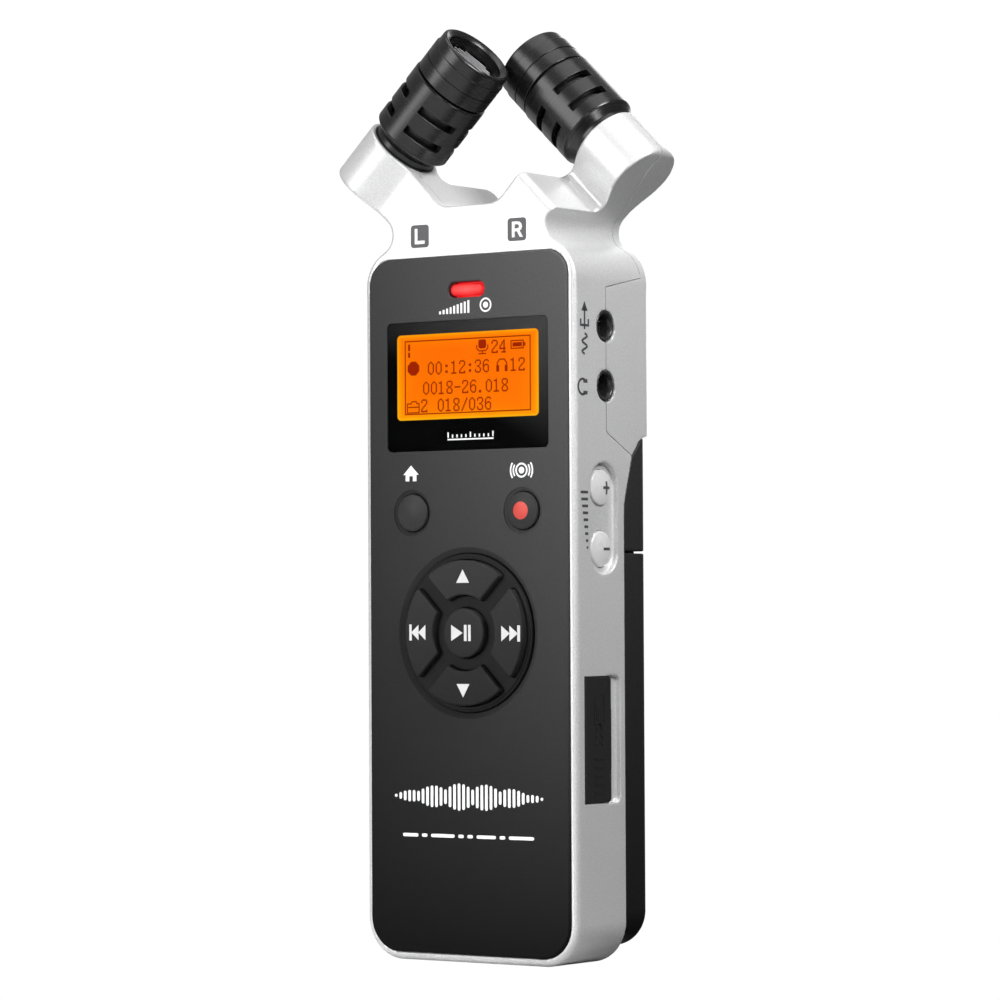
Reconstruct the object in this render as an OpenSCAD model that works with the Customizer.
// Portable field recorder with a crossed pair of stereo microphones.
// Frame: origin at the middle of the base, +X to the recorder's right-hand
// side, -Y out of the front panel, +Z towards the microphones. Millimetres.
// Depths are counted from the front face of the silver case: depth d sits at
// y = d - case_d / 2.

/* [Case] */
// Width of the case
case_w = 46; // [45.6:0.1:46.4]
// Depth of the silver case, front face to back face
case_d = 23; // [22.9:0.05:23.1]
// Depth of the black rear parts, counted from the front face
black_d = 22.5; // [22.4:0.05:22.6]
// Thickness of the side walls
wall = 1.8; // [1.7:0.05:1.85]
// Radius of the bottom corners seen from the front
foot_r = 7.4; // [6.8:0.1:8]
// Depth at which the silver sides end and the black rear part starts
side_d = 14.8; // [14.7:0.05:14.9]
// Depth of the side seam that runs through the sockets
seam_d = 9.5; // [9.45:0.01:9.55]

/* [Face panel] */
// Width of the dark face panel
panel_w = 43.2; // [42.8:0.1:43.4]
// Height at which the panel's top edge lies
panel_top = 124.55; // [124.2:0.05:124.8]
// How far the panel stands proud of the silver rim
panel_proud = 0.5; // [0.3:0.05:0.6]

/* [Display] */
// Width of the glossy window
win_w = 35.2; // [34.8:0.1:35.4]
// Width of the lit display area
lcd_w = 31; // [30.5:0.1:31.2]

/* [Keys] */
// Travel of every push button
key_travel = 0.4; // [0.3:0.05:0.4]
// Radius of the two round keys
round_key_r = 3.3; // [3.2:0.05:3.35]
// Radius of the navigation disc
nav_r = 14; // [13.9:0.05:14.05]
// Height of the navigation disc's centre
nav_z = 57.95; // [57.8:0.05:58.1]
// Inner radius of the four navigation keys
key_r0 = 6.7; // [6.65:0.05:6.8]
// Outer radius of the four navigation keys
key_r1 = 12.8; // [12.6:0.05:12.85]
// Half of the spoke width between two navigation keys
spoke = 1.5; // [1.45:0.05:1.7]
// How far the navigation keys stand out from the case's front face
key_top = 1.85; // [1.6:0.05:1.95]
// Radius of the play key
play_r = 4.36; // [4.25:0.05:4.4]

/* [Sockets] */
// Bore radius of the 3.5 mm sockets
jack_r = 1.77; // [1.76:0.01:1.78]
// Outer radius of the socket collars
collar_r = 2.72; // [2.6:0.02:2.74]

/* [Microphones] */
// Angle of each microphone's axis from the vertical
mic_tilt = 46; // [45.8:0.1:46.2]
// Sideways offset of a microphone axis at the height mic_z
mic_x = 12.3; // [12.25:0.05:12.5]
// Reference height on the microphone axis
mic_z = 150; // [149.95:0.05:150.05]
// Distance of each microphone axis from the middle plane
mic_y = 6.7; // [6.65:0.05:6.75]
// Radius of the microphone barrel
mic_r = 7.35; // [7.2:0.05:7.35]
// Radius of the round holder at the end of each arm
lug_r = 7.05; // [7:0.01:7.1]

/* [Battery bay] */
// Radius of an AAA cell
cell_r = 5.25; // [5.1:0.05:5.25]
// Length of an AAA cell without its tip
cell_l = 43.7; // [43.5:0.1:43.8]

/* [Hidden] */
$fn = 64;
corner_steps = 6; // straight steps in each rounded corner of an outline
gap = 0.06;       // between case parts, and around the socket collars
fit = 0.05;       // between parts that rest on or in each other
through = 1;      // how far cuts run past a side face
reach = 35;       // half width beyond all parts
behind = 27;      // depth beyond all parts

// Case
front_y = -case_d / 2;
half_w = case_w / 2;
inner_half = half_w - wall;
wall_cut = [inner_half - through, half_w + through];
inner_d = 20.9;   // depth of the inner back face
head_z = 118.3;   // height at which the twisted seam of the head starts
door_z = [2.6, 71.9];
rear_z = 72.2;    // lower edge of the visible rear part
insert_z = 82.5;
left_mic_d = case_d / 2 - mic_y;
right_mic_d = case_d / 2 + mic_y;

// Screws, as [x, z]
head_screws = [for (x = [-15.8, 15.8]) [x, 120.8]];
body_screws = [[-17.5, 67], [17.5, 67], [-16.5, 8.5], [16.5, 8.5]];
screws = concat(head_screws, body_screws);

// Circuit board, and where parts rest on its two faces
board_d = [6, 7.2];
on_front = board_d[0] - fit;
on_back = board_d[1] + fit;

// Front parts
win_z = [90.2, 113.1];
lcd_z = [95.8, 110.8];
led_z = 118.5;
home_at = [-12.06, 79.26]; // [x, z]
rec_at = [-home_at.x, home_at.y];
nav_at = [0, nav_z];
nav_pitch = 9.7;  // from the disc's centre to each key's stem
stem_r = 1.3;
switch_d = 4.15 - key_travel; // depth at which the key stems end

// Side parts
side_key_d = 8.7;
side_key_z = [83.2, 72.5];
sockets = [[1, 111.46], [1, 100.99], [-1, 113]]; // side and height
power_d = 9.5;
power_z = 103;
usb_x = [-3.85, 3.85];
usb_d = [on_back, 9.95];
cover_z = [28.3, 50.3];
pivot_at = [half_w - 0.6, 3]; // [x, depth]
card_z = [33.85, 44.85];

// Battery cells
cell_x = 6.2;
cell_d = 15.8;
bay_z = [12, 61];

silver = [0.80, 0.80, 0.82];
black = [0.07, 0.07, 0.08];
grey = [0.16, 0.16, 0.17];
metal = [0.72, 0.70, 0.66];
smoked = [0.1, 0.1, 0.11, 0.4];
orange = [1.0, 0.52, 0.05];
lens_red = [0.9, 0.1, 0.1];
led_red = [1, 0.3, 0.2];
rec_red = [0.5, 0.12, 0.1];
lead_red = [0.7, 0.1, 0.1];
board_green = [0.05, 0.35, 0.18];
cell_gold = [0.75, 0.6, 0.3];
brass = [0.8, 0.65, 0.3];

// ---- ranges [low, high] --------------------------------------------------

function centred(half, centre = 0) = [centre - half, centre + half];
function grow(range, by) = [range[0] - by, range[1] + by];
// x range on the right-hand side (side = 1), or mirrored to the left (-1)
function on_side(side, range) = side > 0 ? range : [-range[1], -range[0]];

// ---- outlines with rounded corners ---------------------------------------

function unit(v) = v / norm(v);
// arc at a corner, from the unit directions to the corners before and after it
function fillet(tip, before, after, radius) =
    let (half_angle = acos(before * after) / 2,
         centre = tip + unit(before + after) * (radius / sin(half_angle)),
         start = tip + before * (radius / tan(half_angle)) - centre,
         end = tip + after * (radius / tan(half_angle)) - centre,
         start_angle = atan2(start.y, start.x),
         end_angle = atan2(end.y, end.x),
         sweep = ((end_angle - start_angle + 540) % 360) - 180)
    [for (k = [0 : corner_steps])
        let (angle = start_angle + sweep * k / corner_steps)
        centre + radius * [cos(angle), sin(angle)]];
// corners [x, y, radius] turned into a polygon
function rounded(corners) =
    let (count = len(corners), tips = [for (corner = corners) [corner.x, corner.y]])
    [for (i = [0 : count - 1])
        let (tip = tips[i], radius = corners[i].z)
        each radius <= 0 ? [tip] : fillet(tip, unit(tips[(i + count - 1) % count] - tip),
            unit(tips[(i + 1) % count] - tip), radius)];
// rounded outline from its right half, mirrored at x = 0
function rounded_pair(half) = rounded(concat(half,
    [for (i = [len(half) - 1 : -1 : 0]) [-half[i].x, half[i].y, half[i].z]]));
function rounded_rect(x, y, radius) =
    rounded([for (p = [[x[0], y[0]], [x[1], y[0]], [x[1], y[1]], [x[0], y[1]]])
        [p.x, p.y, radius]]);

// ---- solids placed by x, depth and z --------------------------------------

// outline [x, z] of the front view, pulled along the depth
module front_prism(points, depth) {
    translate([0, front_y + depth[1], 0]) rotate([90, 0, 0])
        linear_extrude(depth[1] - depth[0]) polygon(points);
}
// outline [depth, z] of the side view, pulled along x
module side_prism(points, x) {
    translate([x[0], front_y, 0]) rotate([90, 0, 90])
        linear_extrude(x[1] - x[0]) polygon(points);
}
// outline [x, depth] of the top view, pulled along z
module top_prism(points, z) {
    translate([0, front_y, z[0]]) linear_extrude(z[1] - z[0]) polygon(points);
}
module block(x, depth, z) {
    translate([x[0], front_y + depth[0], z[0]])
        cube([x[1] - x[0], depth[1] - depth[0], z[1] - z[0]]);
}
// round bar along the depth, centred at [x, z]
module y_bar(at, radius, depth) {
    translate([at[0], front_y + depth[0], at[1]]) rotate([-90, 0, 0])
        cylinder(r = radius, h = depth[1] - depth[0]);
}
// round bar along x, centred at [depth, z]
module x_bar(at, radius, x) {
    translate([x[0], front_y + at[0], at[1]]) rotate([0, 90, 0])
        cylinder(r = radius, h = x[1] - x[0]);
}
// round bar along z, centred at [x, depth]
module z_bar(at, radius, z) {
    translate([at[0], front_y + at[1], z[0]]) cylinder(r = radius, h = z[1] - z[0]);
}

// ---- outer form ------------------------------------------------------------

// front outline: body, shoulders, waist, lugs and the notch between the arms
outline = rounded_pair([[half_w, 0, foot_r], [half_w, 123.44, 7.5], [14.61, 128.47, 3.3],
    [30.23, 142.44, 1.4], [22.38, 150.07, 0.4], [6.3, 133.45, 5]]);
arm_proud = 2.4;   // how far the arms may stand out of the front and back faces
head_offset = 8.6; // from the microphone axis inwards to the end of the full-depth head
lug_turn = 127;    // turn of the round arm shapes about the microphone axis
channel_turn = 37; // turn of the lead channel about its own axis
lead_drop = 12.5;  // from the reference height down the axis to the leads

// frame of the left microphone: local +Z along its axis, local +X down and
// inwards across the arm
module mic_frame() {
    translate([-mic_x, -mic_y, mic_z]) rotate([0, mic_tilt, 0]) children();
}
// the right side is the left one turned half a turn about the vertical
module right() rotate([0, 0, 180]) children();

// the left arm: round lug and the flat bridge behind the front face, pulled
// along the microphone axis and kept inside the outline
module arm() {
    arm_l = 80;
    intersection() {
        front_prism(outline, grow([0, case_d], arm_proud));
        mic_frame() translate([0, 0, -60]) {
            rotate([0, 0, lug_turn]) cylinder(r = lug_r, h = arm_l);
            translate([0, front_y + mic_y, 0]) cube([12, 8.4, arm_l]);
        }
    }
}
// height at which the full-depth head ends, at the distance x from the middle
function head_top(x) =
    mic_z + ((mic_x - x) * cos(mic_tilt) - head_offset) / sin(mic_tilt);
module silver_form() {
    far = 60;
    intersection() {
        front_prism(outline, [0, case_d]);
        front_prism([[-far, -9], [far, -9], [far, head_top(far)], [0, head_top(0)],
            [-far, head_top(far)]], grow([0, case_d], 1));
    }
    arm();
    right() arm();
}
// hollow of the body and head
module hollow() {
    front_prism(rounded_pair([[inner_half, wall, foot_r - wall], [inner_half, 121, 2],
        [15, 125.2, 2], [14.8, 131.6, 1]]), [2.75, inner_d]);
}
// room for the microphone necks and their leads in the arms
module mic_room() {
    for (turn = [0, 180]) rotate([0, 0, turn]) mic_frame() {
        translate([0, 0, -14.4]) rotate([0, 0, lug_turn]) cylinder(r = 6.35, h = 20);
        translate([0, 0, -lead_drop]) rotate([0, 90, 0]) rotate([0, 0, channel_turn])
            cylinder(r = 1.8, h = 15);
    }
}
// seam of the head seen from above, as [x, depth], moved back by offset
function head_seam(offset) = [[reach, right_mic_d + offset], [5.5, right_mic_d + offset],
    [-5.5, left_mic_d + offset], [-reach, left_mic_d + offset]];

// openings in the side walls
module side_openings() {
    for (socket = sockets)
        x_bar([seam_d, socket[1]], collar_r + gap, on_side(socket[0], wall_cut));
    block(on_side(-1, wall_cut), centred(1.3, power_d), centred(4.6, power_z));
    for (side = [1, -1]) {
        for (z = side_key_z) x_bar([side_key_d, z], 3.25, on_side(side, wall_cut));
        // shallow recess around the two side keys
        side_prism(rounded_rect(centred(4.1, side_key_d),
            centred(9.72, (side_key_z[0] + side_key_z[1]) / 2), 4.09),
            on_side(side, centred(through, half_w)));
    }
}
// shank bores up to a depth, and wider bores for the heads from behind
module screw_bores(points, shank_end) {
    for (p = points) {
        y_bar(p, 1.1, [8, shank_end]);
        y_bar(p, 2, [14.5, behind]);
    }
}

// ---- case parts ------------------------------------------------------------

panel_z = 1.45;    // lower edge of the face panel
rear_corner_r = 2.4;
proud_cut = -4;    // depth in front of the arms
round_clear = 0.1; // around the round keys, the disc and the play key

// outline of the face panel, widened all round by margin
function panel_outline(margin) = rounded_pair([[panel_w / 2 + margin, panel_z - margin, 6],
    [panel_w / 2 + margin, panel_top + margin, 4.5]]);
// plan of the black rear parts, as [x, depth]
function rear_plan(front) = rounded_pair([[half_w, front, 0], [half_w, black_d, rear_corner_r]]);

module front_case() color(silver) {
    difference() {
        union() {
            difference() {
                intersection() {
                    silver_form();
                    union() {
                        side_prism([[proud_cut, -1], [side_d, -1], [side_d, 81],
                            [side_d + 1, 86.1], [17.4, 89], [seam_d, 92.9],
                            [seam_d, head_z], [proud_cut, head_z]], centred(reach));
                        top_prism([[reach, proud_cut], [reach, seam_d], [-1.74, seam_d],
                            [-5.5, left_mic_d], [-reach, left_mic_d], [-reach, proud_cut]],
                            [117, 119]);
                        top_prism(concat([[-reach, proud_cut], [reach, proud_cut]],
                            head_seam(0)), [head_z, 160]);
                    }
                }
                hollow();
            }
            for (p = screws) y_bar(p, 2, [2.7, 8.9]);
        }
        for (p = screws) y_bar(p, 0.85, [4, 9]);
        mic_room();
        side_openings();
        // recess of the face panel and the openings behind it
        front_prism(panel_outline(fit), [-3, 1.55]);
        block(centred(15.8), [-1, 3], grow(lcd_z, 0.4));
        block(centred(4.4), [-1, 3], centred(1.9, led_z));
        for (p = [home_at, rec_at]) y_bar(p, 4.5, [0, 3]);
        y_bar(nav_at, 15.2, [0, 3]);
        // card bay: cover recess, finger groove, card slot and pivot holes
        block([half_w - 1.2, half_w + through], [2.35, 10.8], grow(cover_z, 0.1));
        block([half_w - 0.8, half_w + through], [10.7, 13.3], grow(cover_z, 0.1));
        block([inner_half - through, half_w], [7.3, 8.9], [33.3, 45.4]);
        z_bar(pivot_at, 0.45, grow(cover_z, 1.4));
        // opening for the data socket in the base
        block(grow(usb_x, 0.1), grow(usb_d, 0.1), [-1, 3]);
    }
}

module rear_head_case() color(silver) {
    front = seam_d + gap;
    difference() {
        union() {
            difference() {
                intersection() {
                    silver_form();
                    union() {
                        side_prism([[front, 92.97], [17.45, 89.07], [20, 92],
                            [behind, 93.75], [behind, head_z - gap],
                            [front, head_z - gap]], centred(reach));
                        top_prism([[-reach, front], [-1.64, front],
                            [5.45, right_mic_d + gap], [reach, right_mic_d + gap],
                            [reach, behind], [-reach, behind]], [118, 119]);
                        top_prism(concat(head_seam(gap),
                            [[-reach, behind], [reach, behind]]), [head_z + gap, 160]);
                    }
                }
                hollow();
            }
            for (p = head_screws) y_bar(p, 3, [9, 21]);
        }
        screw_bores(head_screws, 22);
        mic_room();
        side_openings();
    }
}

module rear_case() color(black) {
    front = side_d + gap;
    tray_x = centred(20.9);
    bore_r = 5.45;
    difference() {
        union() {
            // visible upper part
            difference() {
                intersection() {
                    top_prism(rear_plan(14), [rear_z, 95]);
                    side_prism([[front, rear_z], [behind, rear_z], [behind, 93.67],
                        [20.06, 91.94], [17.51, 88.98], [side_d + 1.06, 86.07],
                        [front, 81]], centred(reach));
                }
                block(centred(21.4), [10, 21], [74.5, 96]);
            }
            // boss of the tripod insert
            y_bar([0, insert_z], 7.2, [15.2, 21.5]);
            // battery tray
            block(tray_x, [13, inner_d], [8, 72.6]);
            block(tray_x, [9.2, 13.2], [8, 66]);
            for (p = body_screws) y_bar(p, 3, [9, 14.4]);
        }
        y_bar([0, insert_z], 4.65, [10, behind]);
        screw_bores(body_screws, 15);
        // cell troughs, open to the back and joined in the middle
        for (x = [-cell_x, cell_x]) {
            z_bar([x, cell_d], bore_r, bay_z);
            block(centred(bore_r, x), [cell_d, behind], bay_z);
        }
        block(centred(3), [12.5, behind], bay_z);
        for (side = [-1, 1]) {
            // side pockets and the grooves of the door rails
            block(on_side(side, [13.6, 19.4]), [11, behind], [14, 61.5]);
            block(on_side(side, [20.2, 22]), [16.4, 17.6], [7, 70]);
        }
    }
}

module battery_door() color(black) {
    inside = 21.5; // half width of the room inside
    difference() {
        intersection() {
            top_prism(rear_plan(side_d + gap), door_z);
            front_prism(rounded_pair([[half_w, door_z[0], 6.4], [half_w, door_z[1], 0]]),
                [14, 23]);
        }
        intersection() {
            block(centred(inside), [14, 21.15], [4, 73]);
            front_prism(rounded_pair([[inside, 4, 5], [inside, 80, 0]]), [14, 23]);
        }
    }
    // rails
    for (side = [-1, 1]) block(on_side(side, [20.4, 21.6]), [16.6, 17.4], [12, 66]);
}

module tripod_insert() color(brass) {
    difference() {
        y_bar([0, insert_z], 4.6, [15.2, black_d - 0.2]);
        y_bar([0, insert_z], 3.175, [16.2, black_d + 1]);
    }
}
// screws with crossed slots in their heads
module case_screws() color(metal) {
    for (p = screws) {
        difference() {
            y_bar(p, 1.75, [14.55, 15.8]);
            for (slot = [[1.2, 0.22], [0.22, 1.2]])
                block(centred(slot.x, p.x), [15.2, 17], centred(slot.y, p.y));
        }
        y_bar(p, 0.8, [4.6, 14.6]);
    }
}

// ---- face panel, display and lamp ------------------------------------------

module face_panel() color(grey) {
    difference() {
        front_prism(panel_outline(0), [-panel_proud, 1.5]);
        block(centred(win_w / 2 + fit), [-2, 0.2], grow(win_z, fit));
        block(centred(lcd_w / 2 + 0.2), [-2, 3], grow(lcd_z, 0.3));
        front_prism(rounded_rect(centred(4), centred(1.45, led_z), 1.4), [-2, 3]);
        for (p = [home_at, rec_at]) y_bar(p, round_key_r + round_clear, [-2, 3]);
        y_bar(nav_at, nav_r + round_clear, [-2, 3]);
    }
}

module display_window() color(smoked)
    front_prism(rounded_rect(centred(win_w / 2), win_z, 0.8), [-0.45, 0.15]);

// lit area on a wider carrier
module lcd_module() color(orange) {
    block(centred(lcd_w / 2), [0.25, 2.9], lcd_z);
    block(centred(19), [2.85, 5], [92, 113.5]);
}

module led_lens() color(lens_red) {
    front_prism(rounded_rect(centred(3.6), centred(1.05, led_z), 1), [-0.3, 3.4]);
    block(centred(4.2), [2.2, 3.4], centred(1.6, led_z));
}
module led() color(led_red) block(centred(1.6), [4.6, on_front], centred(0.8, led_z));

// ---- front keys ------------------------------------------------------------

key_clear = 0.12;        // around each navigation key
flange_d = [0.86, 1.8];  // flanges of the navigation and play keys
nav_key_d = [-key_top, 0.95];

// round front key with a retaining flange and a stem
module round_key(at) {
    y_bar(at, round_key_r, [-1.3, 1.7]);
    y_bar(at, 4.3, [1.6, 2.5]);
    y_bar(at, stem_r, [2.45, switch_d]);
}
module home_button() color(black) round_key(home_at);
module rec_button() color(rec_red) round_key(rec_at);

// quarter ring between two spokes, facing up before it is turned
module quarter(inner_r, outer_r, half_spoke, depth) {
    far = 30;
    apex = half_spoke * sqrt(2);
    intersection() {
        difference() {
            y_bar([0, 0], outer_r, depth);
            y_bar([0, 0], inner_r, grow(depth, 1));
        }
        front_prism([[0, apex], [far, far + apex], [-far, far + apex]], grow(depth, 1));
    }
}
// turns a part clockwise, seen from the front, about the disc's centre
module nav_turn(angle) translate([0, 0, nav_z]) rotate([0, angle, 0]) children();
module nav_key(angle) nav_turn(angle) {
    quarter(key_r0, key_r1, spoke, nav_key_d);
    quarter(6, 13.1, 0.6, flange_d);
    y_bar([0, nav_pitch], stem_r, [1.75, switch_d]);
}
module nav_up_key() color(black) nav_key(0);
module nav_right_key() color(black) nav_key(90);
module nav_down_key() color(black) nav_key(180);
module nav_left_key() color(black) nav_key(270);

module nav_bezel() color(grey) {
    difference() {
        union() {
            y_bar(nav_at, nav_r, [-0.55, 2.5]);
            y_bar(nav_at, nav_r + 1, [1.6, 2.5]);
        }
        y_bar(nav_at, 13.3, [0.8, 4]);
        y_bar(nav_at, play_r + round_clear, [-2.4, 4]);
        for (angle = [0 : 90 : 270]) nav_turn(angle)
            quarter(key_r0 - key_clear, key_r1 + key_clear, spoke - key_clear, [-2.4, 2]);
    }
}

module play_button() color(black) {
    y_bar(nav_at, play_r, nav_key_d);
    y_bar(nav_at, 5.3, flange_d);
    y_bar(nav_at, stem_r, [1.75, switch_d]);
}

// ---- side keys and power switch --------------------------------------------
// side = 1 is the right-hand side, -1 the left

// round key: cap, flange, core through both, and stem
module side_key(side, z) {
    cap_r = 3.12;
    at = [side_key_d, z];
    x_bar(at, cap_r, on_side(side, [21.2, half_w - 0.7]));
    x_bar(at, 3.6, on_side(side, [20.2, 21.14]));
    x_bar(at, cap_r, on_side(side, [20.2, 21.7]));
    x_bar(at, 1.2, on_side(side, [19.85, 20.85]));
}
module volume_up_button() color(silver) side_key(1, side_key_z[0]);
module volume_down_button() color(silver) side_key(1, side_key_z[1]);
module level_up_button() color(silver) side_key(-1, side_key_z[0]);
module level_down_button() color(silver) side_key(-1, side_key_z[1]);

// slide plate inside the wall and the grip that stands out of it
module power_switch_knob() color(black) {
    block([-21.1, -20.3], centred(1.6, power_d), centred(4, power_z));
    block([-half_w - 0.6, -21], centred(1.15, power_d), centred(2.4, power_z));
}
module power_switch() color(metal) {
    block([-19.4, -16.4], [on_back, 11.2], centred(4.5, power_z));
    block([-20.2, -19.3], centred(0.9, power_d), centred(0.9, power_z));
}

// ---- sockets and card ------------------------------------------------------

// 3.5 mm socket from its side and height
module jack(socket) {
    side = socket[0];
    z = socket[1];
    difference() {
        union() {
            block(on_side(side, [9.5, 21.1]), [on_back, 12], centred(3, z));
            x_bar([seam_d, z], collar_r, on_side(side, [21, half_w - 0.1]));
        }
        x_bar([seam_d, z], jack_r, on_side(side, [9, half_w + through]));
    }
}
module jack_line_out() color(black) jack(sockets[0]);
module jack_headphone() color(black) jack(sockets[1]);
module jack_mic_in() color(black) jack(sockets[2]);

// shell and tongue
module usb_socket() color(metal) {
    shell = 0.4;
    difference() {
        block(usb_x, usb_d, [0.3, 7.2]);
        block(grow(usb_x, -shell), grow(usb_d, -shell), [-1, 5.8]);
    }
    block(centred(2.6), [8.2, 8.8], [1, 5.9]);
}

// plate, hinge edge, pivot pin and the tab at its rear edge
module card_cover() color(black) {
    block([half_w - 1.15, half_w - 0.05], [3, 10.7], cover_z);
    z_bar(pivot_at, 0.55, cover_z);
    z_bar(pivot_at, 0.4, grow(cover_z, 1.2));
    block([half_w - 0.75, half_w - 0.35], [10.6, 11.1], [34, 44.6]);
}
module card_socket() color(metal) {
    difference() {
        block([4.6, 19.2], [on_back, 9.1], [32.5, 46.1]);
        block([5.4, 20], [7.5, 8.75], grow(card_z, 0.1));
    }
}
// card with a notch in its inner upper corner
module memory_card() color(black) {
    difference() {
        block([6.3, 20.6], [7.62, 8.62], card_z);
        block([6, 8.6], [7, 9], [43.9, 45]);
    }
}

// ---- circuit board ---------------------------------------------------------

// ranges in x, depth and z
chips = [
    [[-6, 6], [on_back, 8.4], [84, 96]],
    [[-14, -7], [on_back, 8.2], [60, 66]],
    [[-15, -9], [on_back, 8.2], [20, 30]],
    [[-8, -3], [on_back, 8.1], [40, 44]],
    [[3, 8], [on_back, 8.1], [66.6, 71]],
    [[-12, -8], [4, on_front], [116.8, 120.2]],
    [[8, 12], [on_back, 10.4], [116.8, 120.2]]
];
switch_half = 2.2; // half width of every key switch

module main_pcb() color(board_green) {
    difference() {
        union() {
            block(centred(19.4), board_d, [4.2, 116]);
            block(centred(12.5), board_d, [115, 121]);
        }
        for (p = body_screws) y_bar(p, 2.3, [5, 8]);
    }
}
module pcb_chips() color(black) {
    for (chip = chips) block(chip[0], chip[1], chip[2]);
}
module front_key_switches() color(metal) {
    nav_steps = [[0, 0], [0, 1], [0, -1], [1, 0], [-1, 0]];
    for (p = concat([home_at, rec_at], [for (step = nav_steps) nav_at + nav_pitch * step])) {
        block(centred(switch_half, p.x), [4.6, on_front], centred(switch_half, p.y));
        y_bar(p, 1.1, [4.2, 4.7]);
    }
}
module side_key_switches() color(metal) {
    for (side = [-1, 1], z = side_key_z) {
        block(on_side(side, [15.8, 18.9]), [on_back, 10.2], centred(switch_half, z));
        x_bar([side_key_d, z], 0.9, on_side(side, [18.8, 19.4]));
    }
}

// ---- batteries -------------------------------------------------------------

// leaf spring seen from the side, as [y, z]
leaf_profile = [[-3.4, 0], [3.4, 0], [3.4, 0.3], [-2.6, 0.3], [3, 1.35], [3, 1.65],
    [-3, 2.7], [-3.4, 2.7], [-3.4, 2.4], [-3, 2.35], [2.2, 1.5], [-3.4, 0.45]];

// stands a part on the lower (end = 0) or upper (end = 1) end of the bay
module bay_end(side, end, inset) {
    translate([side * cell_x, front_y + cell_d, bay_z[end] + inset * (1 - 2 * end)])
        rotate([180 * end, 0, 0]) children();
}
// two AAA cells lying opposite ways: flat ends left below and right above
module cell() {
    cylinder(r = cell_r, h = cell_l);
    cylinder(r = 1.9, h = cell_l + 0.8);
}
module batteries() color(cell_gold) {
    for (end = [0, 1]) bay_end(2 * end - 1, end, 2.8) cell();
}
// folded leaf spring that presses on a cell's flat end
module leaf() {
    translate([-3, 0, 0]) rotate([90, 0, 90]) linear_extrude(6) polygon(leaf_profile);
}
module battery_springs() color(metal) {
    for (end = [0, 1]) bay_end(2 * end - 1, end, fit) leaf();
}
// bent contact plate for a cell's tip
module tip_plate() {
    height = 1.6;
    top_t = 0.35;
    translate([-3.5, -3.2, height - top_t]) cube([7, 6.4, top_t]);
    for (x = [-3.5, 3.1]) translate([x, -3.2, 0]) cube([0.4, 6.4, height]);
}
module battery_contacts() color(metal) {
    for (end = [0, 1]) bay_end(1 - 2 * end, end, fit) tip_plate();
}

// ---- one microphone, built along its own axis ------------------------------

// half sections, as [radius, z]
barrel_profile = [[3.2, -10.6], [6, -10.6], [6, -6.1], [mic_r, -4.6], [mic_r, 7.5],
    [6.3, 7.5], [6.3, 9.4], [5.7, 9.4], [5.7, -4.2], [3.2, -5.4]];
ring_profile = [[6.36, 7.9], [7.25, 7.9], [7.25, 10.45], [7.1, 10.45], [7.1, 10.7],
    [7.25, 10.7], [7.25, 13.2], [7, 13.2], [6.9, 15.2], [6.5, 15.5], [5.4, 15],
    [5.4, 12.9], [5.7, 12.9], [5.7, 9.5], [6.36, 9.5]];

// barrel with two rows of four slots
module mic_barrel() {
    difference() {
        rotate_extrude() polygon(barrel_profile);
        for (z = [2.4, -2.1], turn = [15 : 90 : 285]) rotate([0, 0, turn])
            translate([0, 0, z]) rotate_extrude(angle = 62) translate([5, 0])
                square([3, 1.5]);
    }
}
module mic_ring() rotate_extrude() polygon(ring_profile);
// disc with parallel slots that end on a circle
module mic_grille() {
    slot_pitch = 0.75;
    slot_w = 0.32;
    slotted_r = 4.9;
    difference() {
        translate([0, 0, 12.3]) cylinder(r = 5.65, h = 0.55);
        for (k = [-5 : 5]) {
            half_chord = sqrt(pow(slotted_r, 2) - pow(k * slot_pitch, 2));
            translate([-half_chord, k * slot_pitch - slot_w / 2, 12])
                cube([2 * half_chord, slot_w, 2]);
        }
    }
}
module mic_mesh() {
    difference() {
        translate([0, 0, -4]) cylinder(r = 5.64, h = 9.6);
        translate([0, 0, -5]) cylinder(r = 5.4, h = 12);
    }
}
module mic_element() {
    translate([0, 0, 7]) cylinder(r = 5, h = 5.1);
    translate([0, 0, 5.7]) cylinder(r = 5.6, h = 1.4);
}
module mic_collar() {
    difference() {
        translate([0, 0, -9]) cylinder(r = 6.3, h = 1.9);
        translate([0, 0, -10]) cylinder(r = 6.05, h = 4);
    }
}

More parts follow.
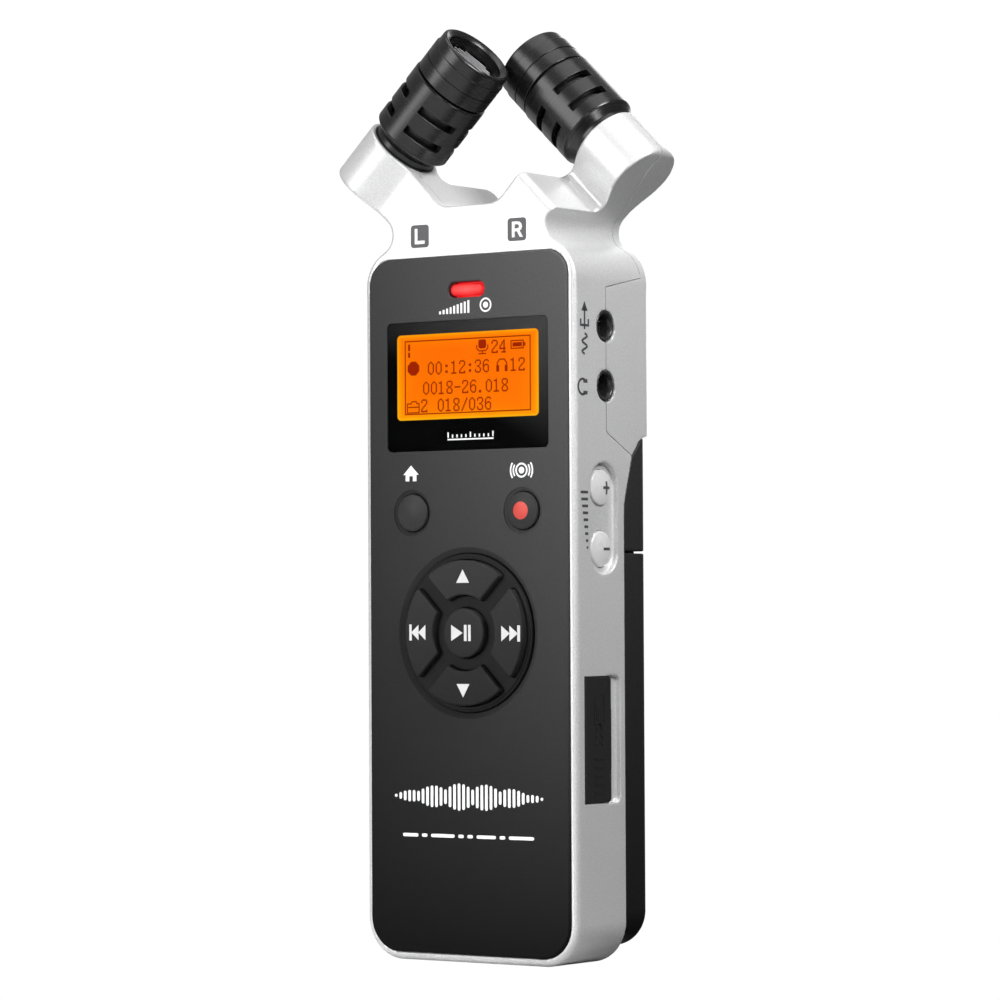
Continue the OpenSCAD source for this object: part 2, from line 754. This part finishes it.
module mic_left_barrel() color(black) mic_frame() mic_barrel();
module mic_left_ring() color(black) mic_frame() mic_ring();
module mic_left_grille() color(metal) mic_frame() mic_grille();
module mic_left_mesh() color(grey) mic_frame() mic_mesh();
module mic_left_element() color(metal) mic_frame() mic_element();
module mic_left_collar() color(black) mic_frame() mic_collar();
module mic_right_barrel() color(black) right() mic_frame() mic_barrel();
module mic_right_ring() color(black) right() mic_frame() mic_ring();
module mic_right_grille() color(metal) right() mic_frame() mic_grille();
module mic_right_mesh() color(grey) right() mic_frame() mic_mesh();
module mic_right_element() color(metal) right() mic_frame() mic_element();
module mic_right_collar() color(black) right() mic_frame() mic_collar();

// ---- flat leads from the microphone necks through the arms to the board ----

lead_out = 15.2; // from the microphone axis across the arm to the bend
lead_t = 0.6;
lead_x = mic_x + lead_drop * sin(mic_tilt) - lead_out * cos(mic_tilt);
lead_z = mic_z - lead_drop * cos(mic_tilt) - lead_out * sin(mic_tilt);
lead_span = [lead_x - 0.1, lead_x + 0.7]; // x range on the right-hand side
lead_end = 120.3;

module lead_top() {
    mic_frame() translate([-0.7, -0.7, -lead_drop - lead_t / 2]) cube([16, 1.4, lead_t]);
    mic_frame() translate([-lead_t / 2, -0.5, -lead_drop]) cube([lead_t, 1, 1.8]);
}
module mic_leads() color(lead_red) {
    lead_top();
    block(on_side(-1, lead_span), centred(0.5, left_mic_d), [lead_end, lead_z]);
    // the right lead runs down, forwards and down again
    right() lead_top();
    block(lead_span, centred(0.5, right_mic_d), [123.1, lead_z]);
    block(grow(lead_span, 0.2), [8.5, right_mic_d + 0.3], [122.9, 123.6]);
    block(lead_span, [8.6, 9.4], [lead_end, 123.2]);
}

front_case();
rear_head_case();
rear_case();
battery_door();
face_panel();
display_window();
lcd_module();
led_lens();
led();
home_button();
rec_button();
nav_bezel();
nav_up_key();
nav_down_key();
nav_left_key();
nav_right_key();
play_button();
volume_up_button();
volume_down_button();
level_up_button();
level_down_button();
power_switch_knob();
power_switch();
jack_line_out();
jack_headphone();
jack_mic_in();
usb_socket();
card_cover();
card_socket();
memory_card();
main_pcb();
pcb_chips();
front_key_switches();
side_key_switches();
batteries();
battery_springs();
battery_contacts();
tripod_insert();
case_screws();
mic_left_barrel();
mic_left_ring();
mic_left_grille();
mic_left_mesh();
mic_left_element();
mic_left_collar();
mic_right_barrel();
mic_right_ring();
mic_right_grille();
mic_right_mesh();
mic_right_element();
mic_right_collar();
mic_leads();
